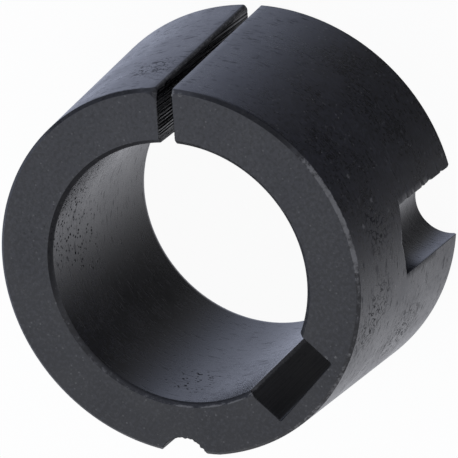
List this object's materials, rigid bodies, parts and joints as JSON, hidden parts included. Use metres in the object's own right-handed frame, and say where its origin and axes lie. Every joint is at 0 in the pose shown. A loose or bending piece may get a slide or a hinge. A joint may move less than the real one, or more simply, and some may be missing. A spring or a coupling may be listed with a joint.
{
  "type": "taper bush",
  "caption": "Split tapered sleeve with a keyway and screw half-holes, wedged into a hub's taper to clamp the hub on a shaft.",
  "frame": {"origin": "centre of the large end's face, on the axis of the bore", "axes": "+Z along the bore's axis, out of the small end; +Y through the middle of the keyway; the bush stands on its large end at Z = 0"},
  "size_m": [0.0384, 0.0384, 0.0223],
  "materials": {
    "blackened_iron": "satin, blackened"
  },
  "bodies": {
    "root": {"taper_bush": "blackened_iron"}
  },
  "joints": []
}
